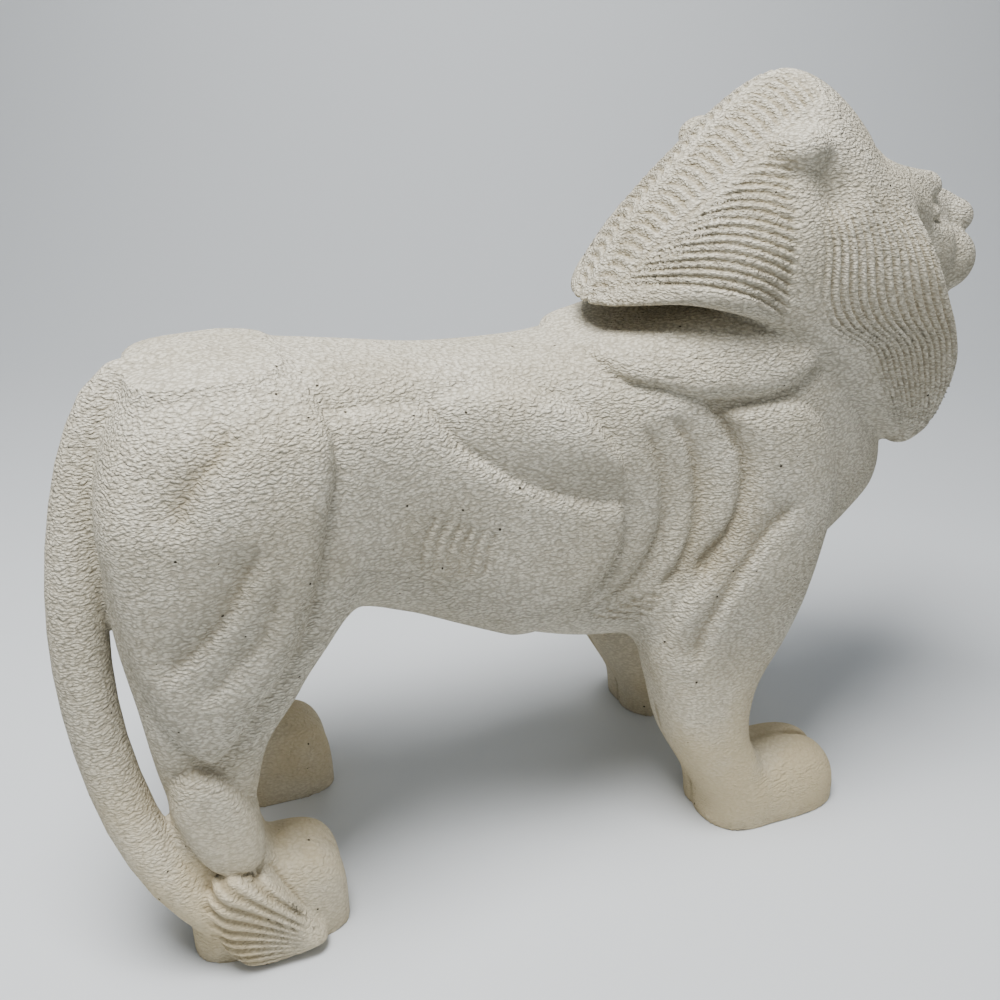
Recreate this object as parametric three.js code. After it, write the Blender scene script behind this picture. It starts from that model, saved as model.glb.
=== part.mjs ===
// Standing lion in cast stone, one solid piece.
// Millimetres. +X towards the face, +Y to the lion's left, +Z up, the four soles at Z = 0.
// The form is a field of signed distances: side outlines with a thickness, tubes and round masses,
// joined smoothly where the stone flows and crisply where one muscle lies on another.
import * as THREE from "three";
import { MarchingCubes } from "three/addons/objects/MarchingCubes.js";
import { SimplifyModifier } from "three/addons/modifiers/SimplifyModifier.js";
import { mergeVertices } from "three/addons/utils/BufferGeometryUtils.js";

// Half-widths, measured from the middle plane
const RUMP_HALF = 61;
const WAIST_HALF = 48;
const CHEST_HALF = 58;
const MANE_HALF = 59;

// How far the muscles stand out of the flank, and the rounding of their rims
const HAUNCH = { out: 6.5, rim: 10 };
const SHOULDER = { out: 5.5, rim: 11 };
const NECK = { out: 5, rim: 12 };
const LEAF = { out: 4.5, rim: 7 };
const BELLY = { out: 4, rim: 9 };
const HOCK = { out: 5, rim: 9 };

// Legs and paws
const PAW_MIDDLE = 50;
const FORE_PAW = { x: 103, half: [38, 24.5, 33], power: 3 };
const HIND_PAW = { x: -149, half: [34, 22, 41], power: 4 };
const HIND_PAW_MIDDLE = 47;
const TOE_GAP = 2.2;
const LEFT_HIND_STEP = 12;
const LEFT_FORE_STEP = 4;
const STEP_TOP = 150;

// Tuft of the tail: its middle plane and half-thickness
const TUFT = { y: -64, half: 15, reach: 8, drop: 9 };

// Carving, with the least width that a groove's side has in the solid
const LEAST_SIDE = 3;
const GROOVE_END = 14;
const REACH = 40;
const RIDGE_PITCH = 6.2;
const RIDGE_DEPTH = 1.8;
const ARC_PITCH = 8;
const ARC_DEPTH = 1.5;
const STRANDS = 11;
const STRAND_DEPTH = 1.2;

// Surface sampling: what lies lower than SOLE is the flat sole, and MIDDLE is the middle of the box
const CELLS = 240;
const TRIANGLES = 9800;
const SOLE = 1.2;
const MIDDLE = { x: 0.91, y: -2.07 };

// Side outlines, as [x, z] points of smooth closed curves
const TRUNK_EDGE = [
  [-188, 196], [-185, 223], [-173, 241], [-152, 248], [-120, 247], [-88, 244], [-54, 240],
  [-22, 239], [2, 240], [30, 245], [75, 256], [120, 252], [156, 222], [171, 182], [168, 158],
  [150, 142], [122, 126], [88, 112], [45, 101], [12, 101], [-17, 107], [-50, 120], [-80, 134],
  [-103, 142], [-130, 135], [-160, 140], [-182, 165],
];
const HAUNCH_EDGE = [
  [-193, 178], [-195, 196], [-192, 215], [-184, 233], [-172, 246], [-155, 252], [-137, 252],
  [-122, 248], [-112, 240], [-108, 227], [-108, 212], [-113, 193], [-119, 168], [-126, 148],
  [-134, 136], [-142, 127], [-149, 118], [-157, 107], [-165, 100], [-171, 104], [-177, 112],
  [-184, 126], [-190, 150],
];
const SHOULDER_EDGE = [
  [52, 146], [62, 162], [68, 181], [68, 196], [63, 208], [58, 216], [72, 219], [92, 219],
  [105, 210], [113, 199], [119, 186], [122, 172], [120, 156], [114, 132], [108, 112], [99, 94],
  [86, 78], [60, 72], [40, 84], [34, 104], [40, 128],
];
const NECK_EDGE = [
  [-2, 252], [4, 243], [10, 237], [18, 231], [33, 228], [50, 223], [71, 222], [90, 226], [108, 236],
  [122, 250], [120, 275], [90, 288], [50, 288], [14, 276],
];
const BELLY_EDGE = [
  [-128, 228], [-102, 232], [-83, 231], [-67, 228], [-61, 221], [-55, 213], [-46, 206], [-37, 199],
  [-28, 194], [-15, 188], [1, 183], [13, 181], [15, 172], [14, 162], [10, 152], [3, 142],
  [-8, 130], [-24, 114], [-45, 96], [-95, 100], [-128, 130],
];
const LEAF_EDGE = [
  [-66, 229], [-50, 233], [-33, 233], [-19, 230], [-9, 225], [1, 218], [8, 208], [13, 198],
  [15, 181], [1, 181], [-15, 186], [-29, 192], [-38, 198], [-47, 205], [-56, 213], [-63, 222],
];
const MANE_EDGE = [
  [-6, 245], [8, 282], [40, 322], [84, 356], [115, 364], [142, 350], [153, 324], [153, 302],
  [158, 283], [167, 261], [177, 242], [183, 225], [183, 207], [178, 190], [168, 182], [153, 191],
  [138, 202], [122, 215], [109, 227], [92, 242], [71, 254], [48, 260], [30, 259], [14, 254],
];
const MANE_TOP = [
  [4, 240], [12, 251], [23, 269], [36, 288], [50, 304], [65, 319], [80, 333], [95, 344],
  [108, 349], [120, 346], [132, 338], [142, 328], [153, 314], [180, 298], [216, 262], [216, 170],
  [120, 150], [24, 200], [4, 226],
];
const MANE_RIDGE = MANE_TOP.slice(1, 13);
const FACE_EDGE = [
  [112, 312], [138, 312], [162, 306], [184, 297], [198, 290], [205, 281], [207, 268], [205, 254],
  [197, 243], [184, 228], [150, 216], [120, 240],
];
const HOCK_EDGE = [
  [-184, 79], [-183, 88], [-180, 95], [-174, 98], [-168, 97], [-162, 92], [-156, 83], [-150, 68],
  [-149, 50], [-157, 45], [-166, 46], [-172, 50], [-177, 58], [-182, 70],
];
const TUFT_EDGE = [
  [-175, 40], [-169, 49], [-160, 48], [-149, 41], [-141, 30], [-135, 18], [-128, 8], [-130, 3],
  [-144, 0], [-160, 0], [-169, 8], [-174, 22],
];

// Lines carved on the flanks, as [x, z] points from the top down, with their depth and the width over
// which their left and right sides round off
const GROOVES = [
  {
    depth: 3, left: 1.8, right: 7,
    line: [
      [20, 217], [26, 206], [31, 192], [33, 180], [32, 167], [28, 155], [21, 144], [9, 134],
      [-4, 127],
    ],
  },
  {
    depth: 3.4, left: 1.8, right: 7,
    line: [
      [31, 219], [39, 210], [44, 201], [47, 190], [48, 179], [47, 167], [44, 156], [39, 145],
      [29, 134],
    ],
  },
  {
    depth: 3.4, left: 2.2, right: 8,
    line: [
      [46, 224], [56, 216], [62, 206], [67, 196], [68, 185], [67, 175], [63, 165], [56, 156],
      [49, 147], [44, 140],
    ],
  },
  {
    depth: 3.6, left: 9, right: 2.4,
    line: [
      [97, 177], [84, 168], [76, 160], [71, 152], [65, 144], [60, 135], [54, 124], [50, 112],
      [48, 96],
    ],
  },
  {
    depth: 3.4, left: 8, right: 2.4,
    line: [
      [-138, 196], [-141, 190], [-147, 179], [-153, 168], [-160, 160], [-166, 154], [-173, 149],
      [-182, 142],
    ],
  },
  {
    depth: 2.6, left: 6, right: 2.4,
    line: [
      [-131, 180], [-134, 173], [-138, 162], [-144, 153], [-152, 146], [-160, 137], [-170, 130],
    ],
  },
  {
    depth: 1.6, left: 3, right: 5,
    line: [
      [-119, 176], [-122, 165], [-127, 154], [-132, 143], [-140, 132],
    ],
  },
  {
    depth: 4.4, left: 12, right: 4,
    line: [
      [-134, 232], [-146, 229], [-151, 224], [-156, 220], [-161, 214], [-165, 206], [-168, 196],
    ],
  },
  {
    depth: 1.4, left: 2, right: 4,
    line: [
      [-71, 151], [-63, 148], [-55, 142], [-46, 136],
    ],
  },
];

// Leg sections from the ground up, as [z, back, front, inner, outer]
const HIND_LEG = [
  [0, -172, -138, 30, 66], [30, -181, -143, 28, 67], [60, -185, -147, 27, 67],
  [80, -187, -147, 27, 66], [100, -188, -141, 26, 65], [120, -190, -126, 23, 64],
  [150, -194, -109, 14, 64], [180, -195, -108, 4, 63], [210, -191, -114, -4, 58],
  [240, -176, -124, -12, 38],
];
const FORE_LEG = [
  [0, 70, 98, 27, 73], [20, 62, 99, 25, 74], [50, 46, 86, 26, 72], [76, 38, 88, 27, 70],
  [100, 32, 102, 26, 68], [125, 31, 111, 20, 66], [150, 34, 114, 10, 65], [180, 44, 114, 0, 62],
  [210, 54, 108, -10, 56], [236, 62, 98, -16, 44],
];

// Half-width along the trunk and down the mane, as [x, y] and [z, y]
const TRUNK_WIDTH = [
  [-190, 46], [-165, 59], [-140, RUMP_HALF], [-110, 55], [-70, WAIST_HALF], [-20, 51], [20, 55],
  [60, CHEST_HALF], [100, CHEST_HALF], [140, 49], [175, 38],
];
const MANE_WIDTH = [
  [175, 42], [200, 51], [225, 56], [250, MANE_HALF], [275, MANE_HALF], [300, 54], [325, 46], [350, 40],
];
const FACE_WIDTH = [[130, 44], [150, 42], [165, 36], [180, 28], [192, 20], [212, 16]];
const BAND_WIDTH = [
  [0, 2], [8, 10], [16, 17], [26, 21], [45, 26], [65, 29], [90, 31], [125, 32], [170, 30],
];

// Borders of the beard panel by height, as [z, back, front]
const BEARD = [
  [186, 158, 166], [196, 150, 180], [208, 138, 184], [221, 126, 184], [238, 112, 179], [250, 88, 174],
  [262, 80, 168], [283, 82, 158], [302, 82, 146], [320, 90, 131], [340, 100, 122],
];

// Middle line of the tail, from the rump to the tuft, as [x, y, z, radius]
const TAIL = [
  [-150, 0, 242, 9], [-178, -3, 239, 9.5], [-191, -9, 222, 10.5], [-200, -17, 196, 11],
  [-205.5, -26, 166, 11.5], [-208, -33, 136, 11], [-206, -41, 104, 10.5], [-199, -50, 72, 10.5],
  [-187, -60, 46, 10], [-172, -66, 26, 9],
];

// Value of a table of [key, value, ...] rows, on a smooth curve through the rows
function along(table, key, column = 1) {
  let i = 0;
  while (i < table.length - 2 && key > table[i + 1][0]) i++;
  const slope = (a, b) => (table[b][column] - table[a][column]) / (table[b][0] - table[a][0]);
  const last = table.length - 1;
  const from = slope(Math.max(0, i - 1), i + 1);
  const to = slope(i, Math.min(last, i + 2));
  const span = table[i + 1][0] - table[i][0];
  const t = Math.min(1, Math.max(0, (key - table[i][0]) / span));
  const [a, b] = [table[i][column], table[i + 1][column]];
  return a + (b - a) * t * t * (3 - 2 * t) + span * t * (1 - t) * (from * (1 - t) - to * t);
}

// Smooth curve through the points, eight steps between two of them
function smoothLine(points, closed, far = 24) {
  const n = points.length;
  const spans = closed ? n : n - 1;
  const pick = (i) => (closed ? points[(i + n) % n] : points[Math.min(n - 1, Math.max(0, i))]);
  const line = [];
  for (let i = 0; i < spans; i++) {
    const [a, b, c, d] = [pick(i - 1), pick(i), pick(i + 1), pick(i + 2)];
    for (let s = 0; s < 8; s++) {
      const t = s / 8;
      line.push(b.map((_, j) => 0.5 * (2 * b[j] + (c[j] - a[j]) * t
        + (2 * a[j] - 5 * b[j] + 4 * c[j] - d[j]) * t * t
        + (3 * b[j] - a[j] - 3 * c[j] + d[j]) * t * t * t)));
    }
  }
  line.push(closed ? line[0] : points[n - 1]);
  line.far = far;
  line.low = [0, 1].map((j) => Math.min(...line.map((p) => p[j])));
  line.high = [0, 1].map((j) => Math.max(...line.map((p) => p[j])));
  return line;
}

// Distance from (x, z) to a line, negative inside a closed one
function distanceTo(line, x, z, closed) {
  const past = Math.max(line.low[0] - x, x - line.high[0], line.low[1] - z, z - line.high[1]);
  if (past > line.far) return past;
  let best = 1e9;
  let inside = false;
  for (let i = 0; i < line.length - 1; i++) {
    const ax = line[i][0];
    const az = line[i][1];
    const bx = line[i + 1][0];
    const bz = line[i + 1][1];
    const ex = bx - ax;
    const ez = bz - az;
    const t = Math.min(1, Math.max(0, ((x - ax) * ex + (z - az) * ez) / (ex * ex + ez * ez + 1e-9)));
    const gx = x - ax - t * ex;
    const gz = z - az - t * ez;
    best = Math.min(best, gx * gx + gz * gz);
    if (az > z !== bz > z && x < ax + ((z - az) / ez) * ex) inside = !inside;
  }
  return closed && inside ? -Math.sqrt(best) : Math.sqrt(best);
}

// Smooth union: k is the size of the fillet
function join(a, b, k) {
  const h = Math.max(k - Math.abs(a - b), 0) / k;
  return Math.min(a, b) - h * h * k * 0.25;
}

// Distance to a rounded block from the offsets of a point, one for each half-size
function rounded(offsets, halves, power = 2) {
  let sum = 0;
  let slope = 0;
  for (let i = 0; i < offsets.length; i++) {
    const share = Math.abs(offsets[i]) / halves[i];
    const pull = share ** (power - 1);
    sum += share * pull;
    slope += (pull / halves[i]) ** 2;
  }
  const k = sum ** (1 / power);
  return k < 0.05 ? -Math.min(...halves) : ((k - 1) * k ** (power - 1)) / Math.sqrt(slope);
}

// Slab with a rounded rim: edge is the distance to its outline, side the distance past its face
function slab(edge, side, reach, drop, power = 2) {
  return rounded([Math.max(edge + reach, 0), Math.max(side + drop, 0)], [reach, drop], power);
}

// Height of a muscle that stands out inside its outline, with a rounded rim
function swell(edge, { out, rim }) {
  const t = Math.min(1, Math.max(0, -edge / rim));
  return out * Math.sqrt(t * (2 - t));
}

// Smooth overlap, the opposite of join
function meet(a, b, k) {
  return -join(-a, -b, k);
}

// Ellipsoid with half-axes rx, ry and rz, the offset of the point from its middle given
function mass(dx, dy, dz, rx, ry, rz) {
  return rounded([dx, dy, dz], [rx, ry, rz]);
}

// Rod between two points, its radius going from ra to rb
function rod(x, y, z, a, b, ra, rb) {
  const e = [b[0] - a[0], b[1] - a[1], b[2] - a[2]];
  const w = [x - a[0], y - a[1], z - a[2]];
  const t = Math.min(1, Math.max(0, (w[0] * e[0] + w[1] * e[1] + w[2] * e[2])
    / (e[0] * e[0] + e[1] * e[1] + e[2] * e[2])));
  return Math.hypot(w[0] - t * e[0], w[1] - t * e[1], w[2] - t * e[2]) - (ra + (rb - ra) * t);
}

// Leg with squarish sections
function leg(x, ay, [back, front, inner, outer]) {
  const offsets = [x - (front + back) / 2, ay - (inner + outer) / 2];
  return rounded(offsets, [(front - back) / 2, (outer - inner) / 2], 3);
}

// Depth of a carved line whose two sides round off over their own widths
function groove(edge, depth, left, right) {
  const side = Math.max(edge < 0 ? left : right, LEAST_SIDE);
  return depth * Math.exp((1.2 - Math.hypot(edge, 1.2)) / side);
}

const outlines = {
  trunk: TRUNK_EDGE, haunch: HAUNCH_EDGE, shoulder: SHOULDER_EDGE, neck: NECK_EDGE, belly: BELLY_EDGE,
  leaf: LEAF_EDGE, mane: MANE_EDGE, top: MANE_TOP, face: FACE_EDGE, hock: HOCK_EDGE, tuft: TUFT_EDGE,
};
for (const name in outlines) outlines[name] = smoothLine(outlines[name], true);
const grooves = GROOVES.map((g) => ({ ...g, line: smoothLine(g.line, false) }));
const tail = smoothLine(TAIL, false);
const maneRidge = smoothLine(MANE_RIDGE, false);
const clamp = THREE.MathUtils.clamp;
const ease = THREE.MathUtils.smoothstep;

// Where (x, z) lies by an open line: the distance, negative on its left as it comes down, the run along
// the line up to there, and how far that is from the nearer end
function beside(line, x, z) {
  let best = 1e9;
  let found = 0;
  let run = 0;
  let right = false;
  for (let i = 0; i < line.length - 1; i++) {
    const [ax, az] = line[i];
    const ex = line[i + 1][0] - ax;
    const ez = line[i + 1][1] - az;
    const size = Math.hypot(ex, ez);
    const t = clamp(((x - ax) * ex + (z - az) * ez) / (size * size), 0, 1);
    const d = Math.hypot(x - ax - t * ex, z - az - t * ez);
    if (d < best) {
      best = d;
      found = run + t * size;
      right = ex * (z - az) > ez * (x - ax);
    }
    run += size;
  }
  return { edge: right ? best : -best, run: found, toEnd: Math.min(found, run - found) };
}

// How far the trunk's muscles stand out at one (x, z)
function muscles(v, x, z) {
  return swell(v.leaf, LEAF) * (0.12 + 0.88 * ease(v.belly, 0, 26))
    + swell(v.belly, BELLY) * ease(x, -128, -100)
    + swell(v.neck, NECK)
    + swell(v.shoulder, SHOULDER) * ease(z, 84, 140);
}

// Depth of the lines cut between the trunk's muscles at one (x, z)
function carving(v, x, z) {
  let cut = 0;
  for (const g of grooves) {
    const far = Math.max(x - g.line.high[0], g.line.low[0] - x, z - g.line.high[1], g.line.low[1] - z);
    if (far > REACH) continue;
    const { edge, toEnd } = beside(g.line, x, z);
    cut += groove(edge, g.depth, g.left, g.right) * ease(toEnd, 0, GROOVE_END);
  }
  cut += groove(v.neck, 1.6, 2, 5) * ease(x, 0, 14) * (1 - ease(z, 236, 250));
  cut += groove(v.leaf, 1.5, 1.5, 4) * ease(z, 196, 214);
  return cut + groove(v.belly, 1.3, 1.5, 4) * ease(z, 136, 150) * ease(x, -118, -104);
}

// Everything that depends on the side view only, for one (x, z)
function sideView(x, z) {
  const v = { x };
  for (const name in outlines) v[name] = distanceTo(outlines[name], x, z, true);
  v.trunkHalf = along(TRUNK_WIDTH, x);
  v.maneHalf = along(MANE_WIDTH, z);
  v.faceHalf = along(FACE_WIDTH, x);
  v.hind = [1, 2, 3, 4].map((c) => along(HIND_LEG, z, c));
  v.fore = [1, 2, 3, 4].map((c) => along(FORE_LEG, z, c));
  v.out = muscles(v, x, z);
  v.cut = carving(v, x, z);
  v.haunchOut = swell(v.haunch, HAUNCH) * (1 - ease(z, 222, 250)) * (0.6 + 0.4 * ease(z, 95, 135));
  v.haunchCut = groove(v.haunch, 1.8, 1.5, 6) * (1 - ease(z, 222, 246)) * ease(x, -182, -172);
  v.hockOut = swell(v.hock, HOCK) - groove(v.hock, 2.4, 1.6, 4);
  if (v.mane < 6) maneLines(v, x, z);
  return v;
}

// Waves of the mane for one (x, z), each with how strongly it is cut there
function maneLines(v, x, z) {
  const wave = (t) => 0.5 + 0.5 * Math.cos(2 * Math.PI * t);
  const peak = (h) => (0.011 + 0.0003 * (h - 272)) * (x - 47 - 0.8 * (h - 272)) ** 2;
  const level = z + peak(z + peak(z));
  v.level = wave((level - 271.5) / RIDGE_PITCH);
  const end = 84 + 0.12 * (z - 262) - 0.012 * Math.max(z - 305, 0) ** 2;
  v.levelCut = RIDGE_DEPTH * ease(end - x, 0, 5) * ease(level, 266, 270);
  v.run = beside(maneRidge, x, z).run;
  v.bandHalf = along(BAND_WIDTH, v.run);
  const [back, front] = [along(BEARD, z, 1), along(BEARD, z, 2)];
  const u = (x - back) / (front - back);
  v.strand = wave(u * STRANDS);
  v.strandCut = STRAND_DEPTH * ease(u, 0.08, 0.3) * (1 - ease(u, 0.97, 1)) * ease(318 - z, 0, 30);
}

// Depth of the mane's carving at a point on its surface
function maneCut(v, ay) {
  const bend = ay > 11 ? 0.012 : 0.05;
  const arc = 0.5 + 0.5 * Math.cos((2 * Math.PI * (v.run + bend * (ay - 11) ** 2)) / ARC_PITCH);
  const past = ay - v.bandHalf;
  const border = 1.2 * Math.exp(-((past / 2) ** 2)) * ease(v.run, 6, 20) * ease(132 - v.run, 0, 20);
  return ARC_DEPTH * arc * ease(-past, 1, 4) * ease(ay, 3, 12) * ease(v.run, 4, 12) * ease(150 - v.run, 0, 20)
    + ease(past, 1, 4) * (v.levelCut * v.level + v.strandCut * v.strand) + border;
}

// The face, forehead and ear added to the distance d
function head(x, ay, z, v, d) {
  d = join(d, mass(x - 146, ay, z - 308, 15, 22, 11), 5);
  d = join(d, slab(v.face, ay - v.faceHalf, 14, 18), 5);
  d = join(d, rod(x, ay, z, [150, 22, 301], [181, 14, 298], 9, 7.5), 6);
  d = join(d, mass(x - 176, ay - 19, z - 269, 22, 13, 21), 6);
  d = meet(d, -mass(x - 187, ay - 27, z - 289, 13, 12, 6), 5);
  d = join(d, mass(x - 176, ay - 20, z - 288, 9, 8, 5), 1);
  d = join(d, rod(x, ay, z, [165, 0, 298], [204, 0, 286], 11, 8.5), 6);
  d = join(d, mass(x - 210, ay - 2, z - 282, 11, 10, 9), 3);
  d = join(d, mass(x - 201, ay - 9, z - 263, 19, 13, 16), 3);
  d = join(d, mass(x - 198, ay, z - 247, 15, 15, 11), 3);
  d = join(d, mass(x - 94, ay - 39, z - 319, 12, 11, 9), 6);
  return meet(d, -mass(x - 105, ay - 57, z - 307, 10, 11, 11), 9);
}

// The creases between the toes of both paws
function toeGaps(x, ay) {
  return TOE_GAP * Math.exp(-Math.abs(ay - PAW_MIDDLE + 4) / 2.5) * ease(x, 112, 126)
    + 0.6 * TOE_GAP * Math.exp(-Math.abs(ay - HIND_PAW_MIDDLE) / 2.5) * ease(x, -134, -120) * (x < 0);
}

// Signed distance of the lion at a point, in its own frame; s is the side view that its legs have
function lion(x, y, z, v, s) {
  const ay = Math.abs(y);
  let d = slab(v.trunk, ay - v.trunkHalf, 50, v.trunkHalf, 3);
  d = join(d, Math.max(leg(s.x, ay, s.hind), z - 244), 12);
  d = join(d, Math.max(leg(s.x, ay, s.fore), z - 238), 12);
  d -= (v.out + s.haunchOut) * clamp((ay - 8) / 30, 0, 1);
  d += (v.cut + s.haunchCut - s.hockOut) * clamp((ay - 30) / 12, 0, 1);
  if (z < 70) {
    const hind = rounded([s.x - HIND_PAW.x, ay - HIND_PAW_MIDDLE, z], HIND_PAW.half, HIND_PAW.power);
    const fore = rounded([s.x - FORE_PAW.x, ay - PAW_MIDDLE, z], FORE_PAW.half, FORE_PAW.power);
    d = join(d, Math.min(hind, fore) + toeGaps(s.x, ay), 5);
  }
  if (v.mane < 20) {
    let mane = meet(slab(v.top, ay - v.maneHalf, 42, v.maneHalf), v.mane, 3 + 7 * ease(x, 14, 50));
    if (v.mane < 6) mane += maneCut(v, ay);
    d = join(d, mane, 3);
  }
  if (x > 70 && z > 200) d = head(x, ay, z, v, d);
  if (y < 30 && x < -100) {
    let rope = 1e9;
    for (let i = 0; i < tail.length - 4; i += 4)
      rope = Math.min(rope, rod(x, y, z, tail[i], tail[i + 4], tail[i][3], tail[i + 4][3]));
    d = join(d, rope, 3);
    d = join(d, slab(v.tuft, Math.abs(y - TUFT.y) - TUFT.half, TUFT.reach, TUFT.drop), 2);
  }
  return Math.max(d, -z);
}

// Sample box, its cells finest across the lion and in the height of the mane
const SPLIT = { share: 0.56, z: 246 };
const LOW = { x: -232, y: -86, z: -4.3 };
const HIGH = { x: 228, y: 86, z: 357 };
const even = (axis, t) => LOW[axis] + (HIGH[axis] - LOW[axis]) * t;
const heightAt = (t) => (t < SPLIT.share
  ? LOW.z + ((SPLIT.z - LOW.z) * t) / SPLIT.share
  : SPLIT.z + ((HIGH.z - SPLIT.z) * (t - SPLIT.share)) / (1 - SPLIT.share));

const sampler = new MarchingCubes(CELLS, new THREE.MeshStandardMaterial(), false, false, 1200000);
sampler.isolation = 0;
sampler.field.fill(-20);
for (let k = 0; k < CELLS; k++) {
  const z = heightAt(k / CELLS);
  for (let i = 0; i < CELLS; i++) {
    const x = even("x", i / CELLS);
    const step = (x < 0 ? LEFT_HIND_STEP : LEFT_FORE_STEP) * (1 - ease(z, 0, STEP_TOP));
    const right = sideView(x, z);
    const left = step > 0 ? sideView(x - step, z) : right;
    for (let j = 0; j < CELLS; j++) {
      const y = even("y", j / CELLS);
      sampler.field[(k * CELLS + j) * CELLS + i] = -lion(x, y, z, right, y > 0 ? left : right);
    }
  }
}
sampler.update();

const found = sampler.geometry.getAttribute("position").array.slice(0, sampler.count * 3);
for (let i = 0; i < found.length; i += 3) {
  found[i] = even("x", (found[i] + 1) / 2) - MIDDLE.x;
  found[i + 1] = even("y", (found[i + 1] + 1) / 2) - MIDDLE.y;
  const height = heightAt((found[i + 2] + 1) / 2);
  found[i + 2] = height < SOLE ? 0 : height;
}
const soup = new THREE.BufferGeometry().setAttribute("position", new THREE.BufferAttribute(found, 3));
const dense = mergeVertices(soup, 1e-4);
const dropped = 1 - TRIANGLES / (dense.index.count / 3);
const points = dense.getAttribute("position").count;
const geometry = await new SimplifyModifier().modify(dense, Math.round(points * dropped));

const stone = new THREE.MeshStandardMaterial({ color: "#cfc6b2", roughness: 0.95, metalness: 0 });
const group = new THREE.Group();
const body = new THREE.Mesh(geometry, stone);
body.name = "lion";
group.add(body);

export default group;
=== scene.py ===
# %% [markdown]
# # A lion cast in stone
#
# The real thing is one casting: a stylised lion in a cream stone mix, with smooth swollen muscles, a mane
# cut into ridges and a sandy face all over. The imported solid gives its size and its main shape. This
# lesson dresses that solid: the same forms are worked again at a finer pitch, and the stone gets its sand,
# pits and stains.

# %% Load the frame
import math
from concurrent.futures import ThreadPoolExecutor

import bpy
import numpy as np
from mathutils import Matrix, Vector


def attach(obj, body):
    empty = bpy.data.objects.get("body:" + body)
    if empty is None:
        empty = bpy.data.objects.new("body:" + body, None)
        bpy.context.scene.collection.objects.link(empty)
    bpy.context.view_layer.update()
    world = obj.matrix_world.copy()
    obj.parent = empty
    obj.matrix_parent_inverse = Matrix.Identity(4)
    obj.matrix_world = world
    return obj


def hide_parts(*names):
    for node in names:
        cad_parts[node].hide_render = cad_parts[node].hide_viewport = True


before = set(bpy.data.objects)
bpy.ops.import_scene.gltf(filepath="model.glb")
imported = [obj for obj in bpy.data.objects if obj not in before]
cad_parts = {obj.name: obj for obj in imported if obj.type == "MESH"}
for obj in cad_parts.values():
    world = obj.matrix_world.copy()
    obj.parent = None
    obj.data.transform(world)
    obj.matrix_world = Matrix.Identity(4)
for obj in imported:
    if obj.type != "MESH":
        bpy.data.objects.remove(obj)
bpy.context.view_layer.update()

# %% [markdown]
# ## Camera
#
# The camera looks down on the lion from behind its right flank. Its place is given in the carver's
# frame: millimetres, the ground at Z = 0, the lion's middle plane at Y = 0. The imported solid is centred
# on its own box instead, so every carver's point is moved by MIDDLE on the way.

# %% Place the camera
MM = 0.001
MIDDLE = np.array([0.91, -2.07, 0.0])
EYE = np.array([-170.7, -408.0, 358.5])
LOOK_DOWN = math.radians(24)
LOOK_AHEAD = math.radians(20)
LENS = 36.9

lens = bpy.data.cameras.new("photo camera")
lens.sensor_width = 36
lens.lens = LENS
lens.clip_start = 0.01
camera = bpy.data.objects.new("photo camera", lens)
bpy.context.scene.collection.objects.link(camera)
ahead = Vector((math.sin(LOOK_AHEAD), math.cos(LOOK_AHEAD), 0))
forward = ahead * math.cos(LOOK_DOWN) - Vector((0, 0, math.sin(LOOK_DOWN)))
up = ahead * math.sin(LOOK_DOWN) + Vector((0, 0, math.cos(LOOK_DOWN)))
turn = Matrix((forward.cross(up), up, -forward)).transposed().to_4x4()
camera.matrix_world = Matrix.Translation(Vector((EYE - MIDDLE) * MM)) @ turn
bpy.context.scene.camera = camera
print("camera at", [round(v, 3) for v in camera.matrix_world.translation])

# %% [markdown]
# ## A block to carve
#
# The solid is faceted, so it can't carry the fine ridges. A copy of it is welded, because its triangles
# come loose, and remeshed with even small faces, like a block of modelling clay with the same outline.
# The mane is cut much finer than the flanks, so its skin is divided once more. A remesh was chosen over
# subdivision because it forgets the facets.

# %% Copy the solid and remesh it
CLAY = 1.25 * MM

bpy.ops.object.select_all(action="DESELECT")
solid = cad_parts["lion"]
lion = bpy.data.objects.new("lion_stone", solid.data.copy())
bpy.context.scene.collection.objects.link(lion)
lion.data.materials.clear()
lion.select_set(True)
bpy.context.view_layer.objects.active = lion
bpy.ops.object.mode_set(mode="EDIT")
bpy.ops.mesh.select_all(action="SELECT")
bpy.ops.mesh.remove_doubles(threshold=1e-5)
bpy.ops.object.mode_set(mode="OBJECT")
clay = lion.modifiers.new("clay", "REMESH")
clay.mode = "VOXEL"
clay.voxel_size = CLAY
bpy.ops.object.modifier_apply(modifier=clay.name)
print("block of clay:", len(lion.data.polygons), "faces")


# %% Read and write the skin in the carver's frame
def skin_points():
    flat = np.empty(len(lion.data.vertices) * 3)
    lion.data.vertices.foreach_get("co", flat)
    return flat.reshape(-1, 3) / MM + MIDDLE


def set_skin(points):
    lion.data.vertices.foreach_set("co", ((points - MIDDLE) * MM).ravel())
    lion.data.update()


# %% Divide the skin of the mane and the tuft
# The mane lies in front of and above MANE_START, and above its lower edge, which is level as far forward as
# MANE_BEND and falls by MANE_FALL a millimetre from there
MANE_START = (6, 182)
MANE_EDGE = 262
MANE_BEND = 40
MANE_FALL = 0.55
TUFT_BOX = ((-178, -90, 0), (-122, -58, 52))


def divide_where(wanted):
    bpy.ops.object.mode_set(mode="EDIT")
    bpy.ops.mesh.select_all(action="DESELECT")
    bpy.ops.object.mode_set(mode="OBJECT")
    lion.data.polygons.foreach_set("select", wanted)
    bpy.ops.object.mode_set(mode="EDIT")
    bpy.ops.mesh.select_mode(type="FACE")
    bpy.ops.mesh.subdivide(number_cuts=1, smoothness=0)
    bpy.ops.object.mode_set(mode="OBJECT")


def face_middles():
    flat = np.empty(len(lion.data.polygons) * 3)
    lion.data.polygons.foreach_get("center", flat)
    return flat.reshape(-1, 3) / MM + MIDDLE


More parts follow.
